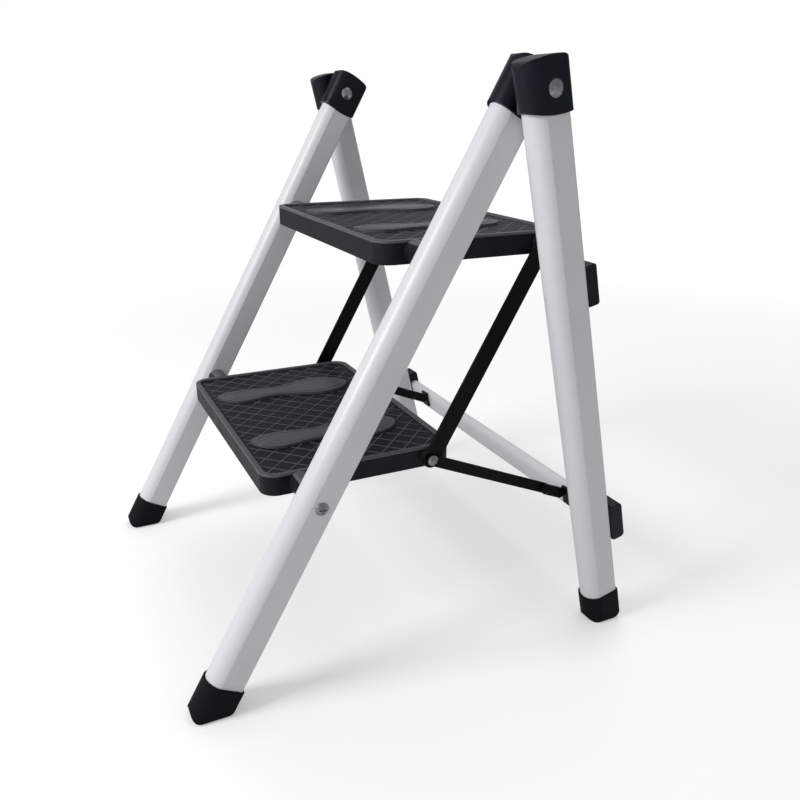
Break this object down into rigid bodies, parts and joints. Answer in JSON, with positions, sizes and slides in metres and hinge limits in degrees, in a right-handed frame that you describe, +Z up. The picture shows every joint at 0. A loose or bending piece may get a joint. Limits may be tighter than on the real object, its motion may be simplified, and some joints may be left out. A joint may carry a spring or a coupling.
{
  "type": "folding step stool",
  "caption": "Folding household step stool with leaning tubular legs, ribbed treads between the front legs, linked side bars and braces to a rear crossbar.",
  "frame": {"origin": "on the floor, under the middle of the stool's bounding box", "axes": "+X across the treads to the right-hand legs, +Y from the front to the rear legs, +Z up"},
  "size_m": [0.55, 0.5052, 0.6133],
  "materials": {
    "white_paint": "white powder coat on steel tube",
    "black_paint": "black powder coat on flat steel",
    "cap_plastic": "black moulded plastic",
    "tread_plastic": "dark grey moulded plastic with a fine cross-hatched deck",
    "foot_rubber": "black rubber",
    "zinc_steel": "dull zinc-plated steel",
    "washer_nylon": "natural nylon"
  },
  "bodies": {
    "front_frame": {"front_leg_right": "white_paint", "front_leg_left": "white_paint", "front_leg_cap_right": "cap_plastic", "front_leg_cap_left": "cap_plastic", "front_foot_right": "foot_rubber", "front_foot_left": "foot_rubber", "hinge_rivets": "zinc_steel", "hinge_washers": "washer_nylon", "lower_tread_axle": "zinc_steel", "upper_tread_axle": "zinc_steel", "lower_axle_screws": "zinc_steel", "lower_pivot_washers": "washer_nylon", "upper_pivot_washers": "washer_nylon"},
    "rear_frame": {"rear_leg_right": "white_paint", "rear_leg_left": "white_paint", "rear_leg_cap_right": "cap_plastic", "rear_leg_cap_left": "cap_plastic", "rear_foot_right": "foot_rubber", "rear_foot_left": "foot_rubber", "crossbar_saddle_right": "cap_plastic", "crossbar_saddle_left": "cap_plastic", "brace_bracket_right": "black_paint", "brace_bracket_left": "black_paint", "rear_bumper_right": "cap_plastic", "rear_bumper_left": "cap_plastic", "rear_crossbar": "white_paint", "crossbar_bolts": "zinc_steel", "brace_rear_rivets": "black_paint", "bumper_screws": "zinc_steel"},
    "lower_step": {"lower_tread": "tread_plastic", "lower_tread_spacers": "tread_plastic", "lower_link_rivets": "zinc_steel"},
    "upper_step": {"upper_tread": "tread_plastic", "upper_tread_spacers": "tread_plastic", "upper_link_rivets": "zinc_steel"},
    "side_links": {"link_bar_right": "black_paint", "link_bar_left": "black_paint"},
    "rear_braces": {"brace_bar_right": "black_paint", "brace_bar_left": "black_paint", "brace_front_rivets": "zinc_steel"}
  },
  "joints": [
    {"name": "leg_fold", "type": "hinge", "parent": "front_frame", "child": "rear_frame", "pos_m": [0, 0.09995, 0.5845], "axis": [-1, 0, 0], "range_deg": [0, 34.3]},
    {"name": "lower_step_pivot", "type": "hinge", "parent": "front_frame", "child": "lower_step", "pos_m": [0, -0.10861, 0.213], "axis": [1, 0, 0], "range_deg": [0, 51.25]},
    {"name": "upper_step_pivot", "type": "hinge", "parent": "front_frame", "child": "upper_step", "pos_m": [0, 0.02077, 0.438], "axis": [1, 0, 0], "range_deg": [0, 51.25]},
    {"name": "link_pivot", "type": "hinge", "parent": "lower_step", "child": "side_links", "pos_m": [0, 0.03939, 0.213], "axis": [-1, 0, 0], "range_deg": [0, 51.25]},
    {"name": "brace_pivot", "type": "hinge", "parent": "rear_frame", "child": "rear_braces", "pos_m": [0, 0.19302, 0.146], "axis": [-1, 0, 0], "range_deg": [0, 51.14]}
  ],
  "couplings": [
    {"joint": "lower_step_pivot", "follows": "leg_fold", "ratio": 1.4927},
    {"joint": "upper_step_pivot", "follows": "leg_fold", "ratio": 1.4927},
    {"joint": "link_pivot", "follows": "leg_fold", "ratio": 1.4927},
    {"joint": "brace_pivot", "follows": "leg_fold", "ratio": 1.4895}
  ]
}
